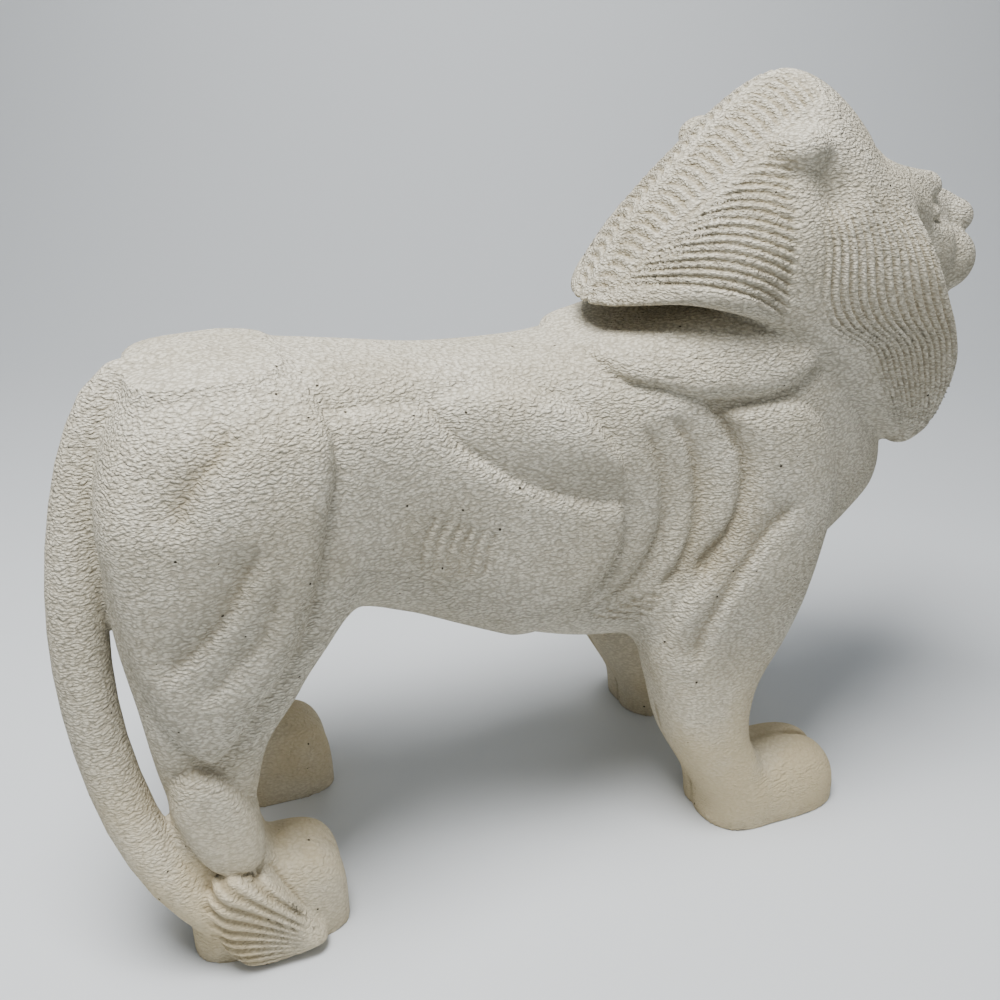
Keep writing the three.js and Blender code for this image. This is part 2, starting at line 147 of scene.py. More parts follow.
middles = face_middles()
in_mane = (middles[:, 0] > MANE_START[0]) & (middles[:, 2] > MANE_START[1])
in_mane &= middles[:, 2] > MANE_EDGE - MANE_FALL * np.maximum(middles[:, 0] - MANE_BEND, 0)
in_tuft = ((middles > TUFT_BOX[0]) & (middles < TUFT_BOX[1])).all(axis=1)
divide_where(in_mane | in_tuft)
print("after dividing:", len(lion.data.polygons), "faces")

# %% [markdown]
# ## Outlines
#
# The carver draws the side view first: the trunk, each muscle, the mane and the face are smooth closed
# curves through a few points, [x, z] in millimetres. A curve through points was chosen over arcs, because
# muscles have no constant radius. Each outline is then read from a map of distances, a grid of 1 mm, so
# that any point of the skin can ask how far it is from every edge.

# %% Side outlines
OUTLINES = {
    "trunk": [
        [-188, 196], [-185, 223], [-173, 241], [-152, 248], [-120, 247], [-88, 244], [-54, 240],
        [-22, 239], [2, 240], [30, 245], [75, 256], [120, 252], [156, 222], [171, 182], [168, 158],
        [150, 142], [122, 126], [88, 112], [45, 101], [12, 101], [-17, 107], [-50, 120], [-80, 134],
        [-103, 142], [-130, 135], [-160, 140], [-182, 165],
    ],
    "haunch": [
        [-193, 178], [-195, 196], [-192, 215], [-184, 233], [-172, 246], [-155, 252], [-137, 252],
        [-122, 248], [-112, 240], [-108, 227], [-108, 212], [-113, 193], [-119, 168], [-126, 148],
        [-134, 136], [-142, 127], [-149, 118], [-157, 107], [-165, 100], [-171, 104], [-177, 112],
        [-184, 126], [-190, 150],
    ],
    "shoulder": [
        [52, 146], [62, 162], [68, 181], [68, 196], [63, 208], [58, 216], [72, 219], [92, 219],
        [105, 210], [113, 199], [119, 186], [122, 172], [120, 156], [114, 132], [108, 112],
        [99, 94], [86, 78], [60, 72], [40, 84], [34, 104], [40, 128],
    ],
    "neck": [
        [-2, 252], [4, 243], [10, 237], [18, 231], [33, 228], [50, 223], [71, 222], [90, 226],
        [108, 236], [122, 250], [120, 275], [90, 288], [50, 288], [14, 276],
    ],
    "belly": [
        [-128, 228], [-102, 232], [-83, 231], [-67, 228], [-61, 221], [-55, 213], [-46, 206],
        [-37, 199], [-28, 194], [-15, 188], [1, 183], [13, 181], [15, 172], [14, 162], [10, 152],
        [3, 142], [-8, 130], [-24, 114], [-45, 96], [-95, 100], [-128, 130],
    ],
    "leaf": [
        [-66, 229], [-50, 233], [-33, 233], [-19, 230], [-9, 225], [1, 218], [8, 208], [13, 198],
        [15, 181], [1, 181], [-15, 186], [-29, 192], [-38, 198], [-47, 205], [-56, 213], [-63, 222],
    ],
    "mane": [
        [-6, 245], [8, 282], [40, 322], [84, 356], [115, 364], [142, 350], [153, 324],
        [153, 302], [158, 283], [167, 261], [177, 242], [183, 225], [183, 207], [178, 190],
        [168, 182], [153, 191], [138, 202], [122, 215], [109, 227], [92, 242], [71, 254], [48, 260],
        [30, 259], [14, 254],
    ],
    "crown": [
        [4, 240], [12, 251], [23, 269], [36, 288], [50, 304], [65, 319], [80, 333], [95, 344],
        [108, 349], [120, 346], [132, 338], [142, 328], [153, 314], [180, 298], [216, 262],
        [216, 170], [120, 150], [24, 200], [4, 226],
    ],
    "face": [
        [112, 312], [138, 312], [162, 306], [184, 297], [198, 290], [205, 281], [207, 268],
        [205, 254], [197, 243], [184, 228], [150, 216], [120, 240],
    ],
    "hock": [
        [-184, 79], [-183, 88], [-180, 95], [-174, 98], [-168, 97], [-162, 92], [-156, 83],
        [-150, 68], [-149, 50], [-157, 45], [-166, 46], [-172, 50], [-177, 58], [-182, 70],
    ],
    "tuft": [
        [-175, 40], [-169, 49], [-160, 48], [-149, 41], [-141, 30], [-135, 18], [-128, 8],
        [-130, 3], [-144, 0], [-160, 0], [-169, 8], [-174, 22],
    ],
}

# %% Carved lines
# Each has its depth, how wide its left and right side round off, and its points from the top down
GROOVES = {
    "rib_a": (3.0, 1.8, 7, [[20, 217], [26, 206], [31, 192], [33, 180], [32, 167], [28, 155],
                            [21, 144], [9, 134], [-4, 127]]),
    "rib_b": (3.4, 1.8, 7, [[31, 219], [39, 210], [44, 201], [47, 190], [48, 179], [47, 167],
                            [44, 156], [39, 145], [29, 134]]),
    "rib_c": (3.4, 2.2, 8, [[46, 224], [56, 216], [62, 206], [67, 196], [68, 185], [67, 175],
                            [63, 165], [56, 156], [49, 147], [44, 140]]),
    "arm": (3.6, 9, 2.4, [[97, 177], [84, 168], [76, 160], [71, 152], [65, 144], [60, 135],
                          [54, 124], [50, 112], [48, 96]]),
    "fold_a": (3.4, 8, 2.4, [[-138, 196], [-141, 190], [-147, 179], [-153, 168], [-160, 160],
                             [-166, 154], [-173, 149], [-182, 142]]),
    "fold_b": (2.6, 6, 2.4, [[-131, 180], [-134, 173], [-138, 162], [-144, 153], [-152, 146],
                             [-160, 137], [-170, 130]]),
    "fold_c": (1.6, 3, 5, [[-119, 176], [-122, 165], [-127, 154], [-132, 143], [-140, 132]]),
    "thigh": (4.4, 12, 4, [[-134, 232], [-146, 229], [-151, 224], [-156, 220], [-161, 214],
                           [-165, 206], [-168, 196]]),
    "belly_crease": (1.4, 2, 4, [[-71, 151], [-63, 148], [-55, 142], [-46, 136]]),
}

# Thin strokes cut in a row: how many, depth, and the points of the first and of the last
FLANK_STROKES = (6, 1.1, [[-68, 186], [-72, 179], [-74, 172], [-75, 163]],
                 [[-43, 175], [-46, 169], [-47, 163], [-48, 156]])
ELBOW_STROKES = (5, 1.1, [[27, 134], [30, 134], [33, 133]], [[5, 125], [15, 122], [26, 120]])

# %% Widths across the lion
RUMP_HALF = 61
WAIST_HALF = 48
CHEST_HALF = 58
MANE_HALF = 59
TRUNK_WIDTH = [
    [-190, 46], [-165, 59], [-140, RUMP_HALF], [-110, 55], [-70, WAIST_HALF], [-20, 51], [20, 55],
    [60, CHEST_HALF], [100, CHEST_HALF], [140, 49], [175, 38],
]
MANE_WIDTH = [
    [175, 42], [200, 51], [225, 56], [250, MANE_HALF], [275, MANE_HALF], [300, 54], [325, 46],
    [350, 40],
]
FACE_WIDTH = [[130, 44], [150, 42], [165, 36], [180, 28], [192, 20], [212, 16]]
BAND_WIDTH = [
    [0, 2], [8, 10], [16, 17], [26, 21], [45, 26], [65, 29], [90, 31], [125, 32], [170, 30],
]

# Leg sections from the ground up, as [z, back, front, inner, outer]
HIND_LEG = [
    [0, -172, -138, 30, 66], [30, -181, -143, 28, 67], [60, -185, -147, 27, 67],
    [80, -187, -147, 27, 66], [100, -188, -141, 26, 65], [120, -190, -126, 23, 64],
    [150, -194, -109, 14, 64], [180, -195, -108, 4, 63], [210, -191, -114, -4, 58],
    [240, -176, -124, -12, 38],
]
FORE_LEG = [
    [0, 70, 98, 27, 73], [20, 62, 99, 25, 74], [50, 46, 86, 26, 72], [76, 38, 88, 27, 70],
    [100, 32, 102, 26, 68], [125, 31, 111, 20, 66], [150, 34, 114, 10, 65],
    [180, 44, 114, 0, 62], [210, 54, 108, -10, 56], [236, 62, 98, -16, 44],
]

# Borders of the beard by height, as [z, back, front]
BEARD = [
    [186, 158, 166], [196, 150, 180], [208, 138, 184], [221, 126, 184], [238, 112, 179],
    [250, 88, 174], [262, 80, 168], [283, 82, 158], [302, 82, 146], [320, 90, 131], [340, 100, 122],
]

# Middle line of the tail from the rump to the tuft, as [x, y, z, radius]
TAIL = [
    [-150, 0, 242, 9], [-178, -3, 239, 9.5], [-191, -9, 222, 10.5], [-200, -17, 196, 11],
    [-205.5, -26, 166, 11.5], [-208, -33, 136, 11], [-206, -41, 104, 10.5], [-199, -50, 72, 10.5],
    [-187, -60, 46, 10], [-172, -66, 26, 9],
]


# %% Curves and tables
def smooth_curve(points, closed, steps=6):
    """Catmull-Rom curve through the points."""
    points = np.array(points, float)
    n = len(points)
    share = np.arange(steps)[:, None] / steps
    line = []
    for i in range(n if closed else n - 1):
        near = [(i + k) % n if closed else min(n - 1, max(0, i + k)) for k in (-1, 0, 1, 2)]
        a, b, c, d = points[near]
        line.append(0.5 * (2 * b + (c - a) * share + (2 * a - 5 * b + 4 * c - d) * share**2
                           + (3 * b - a - 3 * c + d) * share**3))
    return np.vstack(line + [points[:1] if closed else points[-1:]])


def dense(table, step=1.0):
    """Rows of a table, [key, value, ...], filled in on a smooth curve."""
    rows = np.array(table, float)
    keys = np.arange(rows[0, 0], rows[-1, 0] + step, step)
    i = np.clip(np.searchsorted(rows[:, 0], keys) - 1, 0, len(rows) - 2)
    before, after = rows[np.maximum(i - 1, 0)], rows[np.minimum(i + 2, len(rows) - 1)]
    low, high = rows[i], rows[i + 1]
    span = high[:, :1] - low[:, :1]
    t = (keys[:, None] - low[:, :1]) / span
    start = (high - before) / (high[:, :1] - before[:, :1])
    end = (after - low) / (after[:, :1] - low[:, :1])
    values = low + (high - low) * t * t * (3 - 2 * t) + span * t * (1 - t) * (start * (1 - t) - end * t)
    return np.column_stack([keys, values[:, 1:]])


def along(table, key, column=1):
    return np.interp(key, table[:, 0], table[:, column])


tables = [dense(t) for t in (TRUNK_WIDTH, MANE_WIDTH, FACE_WIDTH, BAND_WIDTH, HIND_LEG, FORE_LEG, BEARD)]
trunk_width, mane_width, face_width, band_width, hind_leg, fore_leg, beard_borders = tables


# %% Soft steps and carved lines
CHISEL = 0.8


def ease(value, low, high):
    t = np.clip((value - low) / (high - low), 0, 1)
    return t * t * (3 - 2 * t)


def groove(edge, depth, left, right):
    """Depth of a carved line whose two sides round off over their own widths."""
    return depth * np.exp((CHISEL - np.hypot(edge, CHISEL)) / np.where(edge < 0, left, right))


# %% Distance maps
GROOVE_END = 14
STROKE_HALF = 1.1
MAP_LOW = np.array([-240.0, -12.0])
MAP_CELLS = (480, 380)
map_x, map_z = np.meshgrid(
    MAP_LOW[0] + np.arange(MAP_CELLS[0]), MAP_LOW[1] + np.arange(MAP_CELLS[1]), indexing="ij"
)


def draw_map(line, closed, margin=40):
    """Distance to a line over the map, and the run along the line up to there.

    The distance is negative inside a closed line and left of an open one that comes down.
    """
    distance = np.full(MAP_CELLS, float(margin))
    runs = np.zeros(MAP_CELLS)
    low = np.maximum(line[:, :2].min(axis=0) - margin - MAP_LOW, 0).astype(int)
    high = (line[:, :2].max(axis=0) + margin - MAP_LOW).astype(int)
    part = (slice(low[0], high[0]), slice(low[1], high[1]))
    x, z = map_x[part], map_z[part]
    best = np.full(x.shape, 1e9)
    run = np.zeros(x.shape)
    inside = np.zeros(x.shape, bool)
    right = np.zeros(x.shape, bool)
    passed = 0.0
    for a, b in zip(line[:-1, :2], line[1:, :2]):
        edge = b - a
        size = math.hypot(*edge)
        if size < 1e-9:
            continue
        t = np.clip(((x - a[0]) * edge[0] + (z - a[1]) * edge[1]) / size**2, 0, 1)
        gap = (x - a[0] - t * edge[0]) ** 2 + (z - a[1] - t * edge[1]) ** 2
        nearer = gap < best
        run = np.where(nearer, passed + t * size, run)
        right = np.where(nearer, edge[0] * (z - a[1]) > edge[1] * (x - a[0]), right)
        best = np.minimum(best, gap)
        passed += size
        if closed and edge[1] != 0:
            crossing = a[0] + (z - a[1]) / edge[1] * edge[0]
            inside ^= ((a[1] > z) != (b[1] > z)) & (x < crossing)
    distance[part] = np.where(inside if closed else ~right, -1, 1) * np.sqrt(best)
    runs[part] = run
    return distance, runs, passed


maps = {name: draw_map(smooth_curve(points, True), True)[0] for name, points in OUTLINES.items()}
for name, (depth, left, right, points) in GROOVES.items():
    edge, run, size = draw_map(smooth_curve(points, False), False)
    fade = ease(np.minimum(run, size - run), 0, GROOVE_END)
    maps[name] = groove(edge, depth, left, right) * fade
maps["ridge_run"] = draw_map(smooth_curve(OUTLINES["crown"][1:13], False), False)[1]


def draw_strokes(count, depth, first, last):
    """Depth of a row of strokes that change from the first to the last."""
    shares = np.linspace(0, 1, count)[:, None, None]
    rows = np.array(first) * (1 - shares) + np.array(last) * shares
    grain_shade = [np.abs(draw_map(smooth_curve(row, False, 3), False, 12)[0]) for row in rows]
    return depth * np.exp(-((np.minimum.reduce(grain_shade) / STROKE_HALF) ** 2))


maps["strokes"] = draw_strokes(*FLANK_STROKES) + draw_strokes(*ELBOW_STROKES)
print("maps drawn:", len(maps))


def look(name, x, z):
    """A map's value at points of the side view."""
    u = np.clip(x - MAP_LOW[0], 0, MAP_CELLS[0] - 1.001)
    v = np.clip(z - MAP_LOW[1], 0, MAP_CELLS[1] - 1.001)
    i, j = u.astype(int), v.astype(int)
    u, v = u - i, v - j
    m = maps[name]
    return ((m[i, j] * (1 - u) + m[i + 1, j] * u) * (1 - v)
            + (m[i, j + 1] * (1 - u) + m[i + 1, j + 1] * u) * v)


# %% [markdown]
# ## Stone as a field
#
# Each form gives the distance from any point to its surface, negative inside the stone. Two forms are
# joined by taking the smaller distance, with a fillet where they meet, and a groove adds to the distance.
# The skin of clay is then moved to where the field is zero. Sculpting by hand would also work, but a field
# keeps left and right alike and every ridge at its pitch.

# %% Ways to blend
def join(a, b, fillet):
    h = np.maximum(fillet - np.abs(a - b), 0) / fillet
    return np.minimum(a, b) - h * h * fillet * 0.25


def meet(a, b, fillet):
    return -join(-a, -b, fillet)


def swell(edge, out, rim):
    """Height of a muscle inside its outline, rounded over the rim."""
    t = np.clip(-edge / rim, 0, 1)
    return out * np.sqrt(t * (2 - t))


# %% Simple forms
FAR = 400


def rounded(parts, sizes, power=2):
    """Distance to a rounded block from the offsets of a point, one for each half-size."""
    shares = [np.abs(p) / s for p, s in zip(parts, sizes)]
    pulls = [math.prod([q] * (power - 1)) for q in shares]
    total = sum(q * pull for q, pull in zip(shares, pulls))
    k = np.maximum(np.cbrt(total) if power == 3 else total ** (1 / power), 0.02)
    slope = np.sqrt(sum((pull / s) ** 2 for pull, s in zip(pulls, sizes)))
    return (k - 1) * math.prod([k] * (power - 1)) / np.maximum(slope, 1e-9)


def slab(edge, side, reach, drop, power=2):
    """A plate with a rounded rim, from the distance to its outline and past its face."""
    parts = (np.maximum(edge + reach, 0), np.maximum(side + drop, 0))
    return np.minimum(rounded(parts, (reach, drop), power), FAR)


def mass(p, middle, sizes, power=2):
    return rounded([p[i] - middle[i] for i in range(3)], sizes, power)


def rod(p, a, b, start, end):
    a, b = np.array(a, float), np.array(b, float)
    edge = b - a
    t = np.clip(sum((p[i] - a[i]) * edge[i] for i in range(3)) / (edge @ edge), 0, 1)
    gap = np.sqrt(sum((p[i] - a[i] - t * edge[i]) ** 2 for i in range(3)))
    return gap - (start + (end - start) * t)


# %% Muscles and legs
LEFT_HIND_STEP = 12
LEFT_FORE_STEP = 4
STEP_TOP = 150
FORE_PAW = {"middle": (103, 50, 0), "half": (38, 24.5, 33)}
HIND_PAW = {"middle": (-149, 47, 0), "half": (34, 22, 41)}
TOE_GAP = 2.2
HIND_TOE_SHARE = 0.6

# Share of a muscle line's depth that counts as fine carving, which is darkened with dirt and painted shade
LINE_DIRT_AND_SHADE = 0.35


def leg(x, ay, z, table, cap):
    back, front, inner, outer = (along(table, z, c) for c in (1, 2, 3, 4))
    parts = (x - (front + back) / 2, ay - (inner + outer) / 2)
    sizes = ((front - back) / 2, (outer - inner) / 2)
    return np.maximum(rounded(parts, sizes, 3), z - cap)


def muscles(x, ay, z, sx):
    """How far the trunk's muscles stand out; sx is x as the stepping left legs see it."""
    leaf, belly, haunch = look("leaf", x, z), look("belly", x, z), look("haunch", sx, z)
    out = swell(leaf, 4.5, 7) * (0.12 + 0.88 * ease(belly, 0, 26))
    out += swell(belly, 4, 9) * ease(x, -128, -100)
    out += swell(look("neck", x, z), 5, 12)
    out += swell(look("shoulder", x, z), 5.5, 11) * ease(z, 84, 140)
    out += swell(haunch, 6.5, 10) * (1 - ease(z, 222, 250)) * (0.6 + 0.4 * ease(z, 95, 135))
    return out * np.clip((ay - 8) / 30, 0, 1)


def carving(x, ay, z, sx):
    """Depth of the lines cut between the muscles."""
    cut = look("strokes", x, z)
    for name in GROOVES:
        cut += look(name, x, z)
    cut += groove(look("haunch", sx, z), 1.8, 1.5, 6) * (1 - ease(z, 222, 246)) * ease(sx, -182, -172)
    cut += groove(look("hock", sx, z), 2.4, 1.6, 4)
    cut += groove(look("neck", x, z), 1.6, 2, 5) * ease(x, 0, 14) * (1 - ease(z, 236, 250))
    cut += groove(look("leaf", x, z), 1.5, 1.5, 4) * ease(z, 196, 214)
    cut += groove(look("belly", x, z), 1.3, 1.5, 4) * ease(z, 136, 150) * ease(x, -118, -104)
    return cut * np.clip((ay - 30) / 12, 0, 1)


def body(x, ay, z, sx):
    """Trunk, legs and paws, and the depth of their fine carving, which gets dirt and painted shade."""
    wide = along(trunk_width, x)
    d = slab(look("trunk", x, z), ay - wide, 50, wide, 3)
    for table, cap in ((hind_leg, 244), (fore_leg, 238)):
        d = join(d, leg(sx, ay, z, table, cap), 12)
    cut = carving(x, ay, z, sx)
    d += cut - muscles(x, ay, z, sx)
    cut = LINE_DIRT_AND_SHADE * cut + look("strokes", x, z)
    d -= swell(look("hock", sx, z), 5, 9) * np.clip((ay - 30) / 12, 0, 1)
    low = z < 70
    p = (sx[low], ay[low], z[low])
    toes = TOE_GAP * np.exp(-np.abs(p[1] - FORE_PAW["middle"][1] + 4) / 1.6) * ease(p[0], 112, 126)
    toes += TOE_GAP * np.exp(-np.abs(p[1] - HIND_PAW["middle"][1]) / 1.6) * ease(p[0], -134, -120)
    toes[p[0] < -100] *= HIND_TOE_SHARE
    paws = mass(p, HIND_PAW["middle"], HIND_PAW["half"], 4)
    paws = np.minimum(paws, mass(p, FORE_PAW["middle"], FORE_PAW["half"], 3))
    d[low] = join(d[low], paws + toes, 5)
    cut[low] = np.maximum(cut[low], toes)
    return d, cut


# %% Head
def head(p, d):
    """Face, forehead and ears joined to the distance d; p has |y| for y."""
    x, ay, z = p
    d = join(d, mass(p, (146, 0, 308), (15, 22, 11)), 5)
    d = join(d, slab(look("face", x, z), ay - along(face_width, x), 14, 18), 5)
    d = join(d, rod(p, (150, 22, 301), (181, 14, 298), 9, 7.5), 6)
    d = join(d, mass(p, (176, 19, 269), (22, 13, 21)), 6)
    d = meet(d, -mass(p, (187, 27, 289), (13, 12, 6)), 5)
    d = join(d, mass(p, (176, 20, 288), (9, 8, 5)), 1)
    d = join(d, rod(p, (165, 0, 298), (204, 0, 286), 11, 8.5), 6)
    d = join(d, mass(p, (210, 2, 282), (11, 10, 9)), 3)
    d = join(d, mass(p, (201, 9, 263), (19, 13, 16)), 3)
    d = join(d, mass(p, (198, 0, 247), (15, 15, 11)), 3)
    d = join(d, mass(p, (94, 39, 319), (12, 11, 9)), 6)
    return meet(d, -mass(p, (105, 57, 307), (10, 11, 11)), 9)


# %% [markdown]
# ## The mane
#
# The carver cut three kinds of hair into one smooth hood. A band runs up the back with arches across it,
# the cheeks carry about sixteen level ridges that sag towards both ends, and the beard falls in long
# strands. Each ridge has a steep lit top and a long shaded underside, like clapboard, so a lopsided wave
# is used and not a plain one. Their pitches are read from the photo.

# %% Hair pitches
RIDGE_PITCH = 3.1
RIDGE_DEPTH = 1.6
FIRST_RIDGE = 271.5
ARC_PITCH = 5.2
ARC_DEPTH = 1.7
STRANDS = 19
STRAND_DEPTH = 1.6
TUFT_TIP = (-128, 4)
TUFT_STRANDS = 7.5
TUFT_DEPTH = 1.8


def wave(turns, lean=0.5):
    """A wave from 0 on the crests to 1 in the valleys; lean is the share of a turn before the crest."""
    t = turns - np.floor(turns)
    t = np.where(t < lean, 0.5 * t / lean, 0.5 + 0.5 * (t - lean) / (1 - lean))
    return 0.5 + 0.5 * np.cos(2 * np.pi * t)


# %% Cut the hair
def hair(x, ay, z):
    """Depth of the carving of the mane."""
    def sag(level):
        return (0.011 + 0.0003 * (level - 272)) * (x - 47 - 0.8 * (level - 272)) ** 2

    level = z + sag(z + sag(z))
    ridges = RIDGE_DEPTH * wave((level - FIRST_RIDGE) / RIDGE_PITCH + 0.7, 0.7)
    end = 84 + 0.12 * (z - 262) - 0.012 * np.maximum(z - 305, 0) ** 2
    ridges *= ease(end - x, 0, 5) * ease(level, 267, 269.5)
    run = look("ridge_run", x, z)
    bend = np.where(ay > 11, 0.012, 0.05)
    arcs = ARC_DEPTH * wave((run + bend * (ay - 11) ** 2) / ARC_PITCH, 0.65)
    past = ay - along(band_width, run)
    arcs *= ease(-past, 1, 6) * ease(ay, 0, 6) * ease(run, 4, 12) * ease(150 - run, 0, 20)
    back, front = along(beard_borders, z, 1), along(beard_borders, z, 2)
    u = (x - back) / (front - back)
    strands = STRAND_DEPTH * wave(u * STRANDS) * ease(u, 0.08, 0.3) * (1 - ease(u, 0.9, 1))
    strands *= ease(318 - z, 0, 30)
    border = 1.2 * np.exp(-((past / 2) ** 2)) * ease(run, 6, 20) * ease(132 - run, 0, 20)
    return arcs + ease(past, 0, 6) * (ridges + strands) + border


# %% The whole lion
def tail(p, d, cut):
    """The tail and its tuft joined to the distance d."""
    x, y, z = p
    rope = np.full(len(x), 1e9)
    line = smooth_curve(TAIL, False, 2)
    for a, b in zip(line[:-1], line[1:]):
        rope = np.minimum(rope, rod(p, a[:3], b[:3], a[3], b[3]))
    d = join(d, rope, 3)
    from_tip = (TUFT_TIP[0] - x, z - TUFT_TIP[1])
    reach = np.hypot(*from_tip)
    turn = np.arctan2(from_tip[1], from_tip[0]) / math.radians(50)
    strands = TUFT_DEPTH * wave(turn * TUFT_STRANDS + 0.015 * reach, 0.6) * ease(reach, 8, 26)
    lock = slab(look("tuft", x, z), np.abs(y + 64) - 15, 8, 9)
    return join(d, lock + strands, 2), np.where(lock < 2, strands, cut)


def lion_field(points):
    """Distance to the carved lion, and the depth of fine carving, which gets dirt and painted shade."""
    x, y, z = points.T
    ay = np.abs(y)
    step = np.where(x < 0, LEFT_HIND_STEP, LEFT_FORE_STEP) * (1 - ease(z, 0, STEP_TOP))
    sx = np.where(y > 0, x - step, x)
    d = np.full(len(x), 100.0)
    cut = np.zeros(len(x))
    low = z < 276
    d[low], cut[low] = body(x[low], ay[low], z[low], sx[low])

    high = (x > -16) & (z > 165)
    p = (x[high], ay[high], z[high])
    edge = look("mane", p[0], p[2])
    wide = along(mane_width, p[2])
    hood = slab(look("crown", p[0], p[2]), p[1] - wide, 42, wide)
    hood = meet(hood, edge, 3 + 7 * ease(p[0], 14, 50))
    depth = np.where(edge < 6, hair(*p), 0)
    cut[high] = np.where((edge < 6) & (hood < d[high] + 1), depth, cut[high])
    d[high] = head(p, join(d[high], hood + depth, 3))

    back = (y < 30) & (x < -100)
    d[back], cut[back] = tail((x[back], y[back], z[back]), d[back], cut[back])
    return np.maximum(d, -z), cut


# %% [markdown]
# ## Carving
#
# The clay is smoothed a little, so that its faces forget the remesh grid, and then every point walks along
# its own slope of the field until it lies on the surface. Points on the ground stay there, because the
# soles are flat, and a point that can't reach the surface goes back to where it started.

# %% Move the skin to the field
SMOOTHING = 4
WALKS = 4
SLOPE_STEP = 0.15
LONGEST_STEP = 2.5
LONGEST_WALK = 5
WORST_LEFT = 0.5
CORNERS = np.array([[1, 1, 1], [1, -1, -1], [-1, 1, -1], [-1, -1, 1]], float)
PART = 8000


def in_parts(points):
    """The field for many points, worked out on all processors in parts that fit their memory."""
    parts = np.array_split(points, len(points) // PART + 1)
    with ThreadPoolExecutor() as workers:
        distances, depths = zip(*workers.map(lion_field, parts))
    return np.concatenate(distances), np.concatenate(depths)


bpy.ops.object.mode_set(mode="EDIT")
bpy.ops.mesh.select_all(action="SELECT")
bpy.ops.mesh.vertices_smooth(factor=0.5, repeat=SMOOTHING)
bpy.ops.object.mode_set(mode="OBJECT")
start = skin_points()
points = start.copy()
for walk in range(WALKS):
    here = in_parts(points)[0]
    # The slope hardly changes in one step, so it is worked out for every second one
    if walk % 2 == 0:
        slope = sum(c * in_parts(points + SLOPE_STEP * c)[0][:, None] for c in CORNERS)
        slope /= 4 * SLOPE_STEP
    steep = np.maximum((slope**2).sum(axis=1), 0.25)
    move = -(here / steep)[:, None] * slope
    size = np.sqrt((move**2).sum(axis=1))
    points += move * np.minimum(1, LONGEST_STEP / np.maximum(size, 1e-9))[:, None]
    points[:, 2] = np.maximum(points[:, 2], 0)
    print("walk", walk + 1, "mean distance left", round(float(np.abs(here).mean()), 3), "mm")
stuck = np.abs(in_parts(points)[0]) > WORST_LEFT
stuck |= ((points - start) ** 2).sum(axis=1) > LONGEST_WALK**2
points[stuck] = start[stuck]
print("points put back where they started:", int(stuck.sum()))
set_skin(points)

# %% Thin out the flat places
MOST_TRIANGLES = 190000

bpy.ops.object.mode_set(mode="EDIT")
bpy.ops.mesh.select_all(action="SELECT")
bpy.ops.mesh.quads_convert_to_tris()
bpy.ops.object.mode_set(mode="OBJECT")
thin = lion.modifiers.new("thin", "DECIMATE")
thin.ratio = min(1, MOST_TRIANGLES / len(lion.data.polygons))
bpy.ops.object.modifier_apply(modifier=thin.name)
bpy.ops.object.shade_smooth()
print("carved lion:", len(lion.data.polygons), "triangles")

# %% Remember how deep the stone is carved
deep = lion.data.attributes.new("carved", "FLOAT", "POINT")
deep.data.foreach_set("value", in_parts(skin_points())[1].astype(np.float32))


# %% [markdown]
# ## Cast stone
#
# The real stuff is cast stone: cement or gypsum with light sand, cast in a mould and then left rough. It
# gives the eye a dry cream surface with no gloss, flat grains about two millimetres across that catch
# the light from above, small pits where air bubbles broke open, and a tan stain on the paws and the
# tuft, where it was handled and stood. Shade is painted into the colour too: between the grains, inside
# the pits, and with the dirt in the carved lines. Everything is worked out from the place on the stone,
# so the pattern doesn't slide.

# %% Colours
def linear(code):
    """sRGB hex to linear RGBA."""
    parts = [int(code[i:i + 2], 16) / 255 for i in (1, 3, 5)]
    return [p / 12.92 if p <= 0.04045 else ((p + 0.055) / 1.055) ** 2.4 for p in parts] + [1]


# %% One helper for nodes
def add(tree, kind, settings=None, **links):
    """A node with its settings and its inputs: a number or colour is set, a socket or a node is linked."""
    node = tree.nodes.new(kind)
    for key, value in (settings or {}).items():
        setattr(node, key, value)
    for key, value in links.items():
        name = key.replace("_", " ")
        socket = node.inputs[int(name[2:])] if name.startswith("in") else node.inputs[name]
        if isinstance(value, bpy.types.Node):
            value = value.outputs[0]
        if isinstance(value, bpy.types.NodeSocket):
            tree.links.new(value, socket)
        else:
            socket.default_value = value
    return node


# %% Sizes and colours of the stone
GRAIN = 1.0 * MM
GRAIN_SQUASH = (0.5, 0.55, 1.0)
FINE_GRAIN = 0.5 * MM
WANDER = 5 * MM
WANDER_REACH = (1.6 * MM, 1.6 * MM, 2.4 * MM)
RELIEF = 1.25 * MM
CLOUD = 45 * MM
WORN_FROM = 0.12
WORN_TO = 0.03
CREAM = "#d9d3c1"
SHADE_CREAM = "#cdc6b2"
# Colour of the painted shade in the gaps between the grains
GRAIN_SHADE = "#8f8672"
TAN = "#cbb992"
# Colour of the dirt and painted shade in the carved lines
DIRT_AND_SHADE = "#857656"
# Colour of the painted shade inside the open air bubbles
PIT_SHADE = "#3f382b"

# Open air bubbles, as [spacing, how light a place's random colour has to be for one, radius as a share
# of the spacing]
PITS = [[8 * MM, 0.7, 0.085], [3.2 * MM, 0.88, 0.12]]

EASED = {"interpolation_type": "SMOOTHSTEP"}
TIMES = {"operation": "MULTIPLY"}
TIMES_PLUS = {"operation": "MULTIPLY_ADD"}
LESS = {"operation": "SUBTRACT"}


# %% Open air bubbles
def pits(tree, place, spacing, lightness, radius):
    """1 inside a bubble and 0 elsewhere."""
    cells = add(tree, "ShaderNodeTexVoronoi", Vector=place, Scale=1 / spacing)
    chosen = add(tree, "ShaderNodeMath", {"operation": "GREATER_THAN"},
                 in0=cells.outputs["Color"], in1=lightness)
    inside = add(tree, "ShaderNodeMapRange", EASED, Value=cells.outputs["Distance"],
                 From_Min=radius * 0.5, From_Max=radius, To_Min=1.0, To_Max=0.0)
    return add(tree, "ShaderNodeMath", TIMES, in0=chosen, in1=inside)


